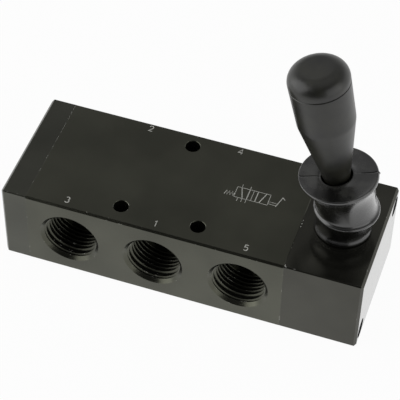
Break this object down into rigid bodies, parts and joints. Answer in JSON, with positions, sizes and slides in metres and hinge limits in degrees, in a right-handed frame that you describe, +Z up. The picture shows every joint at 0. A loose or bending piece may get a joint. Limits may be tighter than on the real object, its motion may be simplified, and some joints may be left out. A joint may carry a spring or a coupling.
{
  "type": "hand lever air valve",
  "caption": "Inline 5/2-way spool valve block with G1/2 ports, a booted hand lever on top at one end and a return spring inside the other.",
  "frame": {"origin": "under the middle of the block, on the face it stands on", "axes": "+Z up, +X along the block towards the lever, -Y out of the face with ports 3, 1 and 5"},
  "size_m": [0.1344, 0.05, 0.107],
  "materials": {
    "black_anodised": "satin black anodised",
    "nitrile": "moulded",
    "boot_rubber": "moulded, slightly glossy",
    "handle_plastic": "matte moulded",
    "black_steel": "black oxide",
    "turned_steel": "turned",
    "spring_steel": "drawn wire",
    "spool_alloy": "turned and polished",
    "insert_brass": "turned"
  },
  "bodies": {
    "valve": {"valve_body": "black_anodised", "spring_cap": "black_anodised", "lever_housing": "black_anodised", "cap_seal": "nitrile", "housing_seal": "nitrile", "cap_screws": "black_steel", "housing_screws": "black_steel", "return_spring": "spring_steel", "pivot_bush": "turned_steel", "pivot_pin": "turned_steel", "lever_boot": "boot_rubber"},
    "lever": {"lever_rod": "turned_steel", "lever_handle": "handle_plastic", "handle_cap": "handle_plastic", "handle_insert": "insert_brass"},
    "spool": {"spool": "spool_alloy", "drive_link": "turned_steel", "link_pin": "turned_steel", "spool_seal_1": "nitrile", "spool_seal_2": "nitrile", "spool_seal_3": "nitrile", "spool_seal_4": "nitrile", "spool_seal_5": "nitrile", "spool_seal_6": "nitrile"}
  },
  "joints": [
    {"name": "lever_swing", "type": "hinge", "parent": "valve", "child": "lever", "pos_m": [0.053, 0, 0.0395], "axis": [0, 1, 0], "range_deg": [0, 25], "stiffness_Nm_per_rad": 1.0188, "springref_deg": -15.23, "deforming": ["lever_boot"]},
    {"name": "spool_slide", "type": "slide", "parent": "valve", "child": "spool", "axis": [-1, 0, 0], "range_m": [0, 0.00985], "deforming": ["return_spring"]}
  ],
  "couplings": [
    {"joint": "spool_slide", "follows": "lever_swing", "m_per_rad": 0.02257}
  ]
}
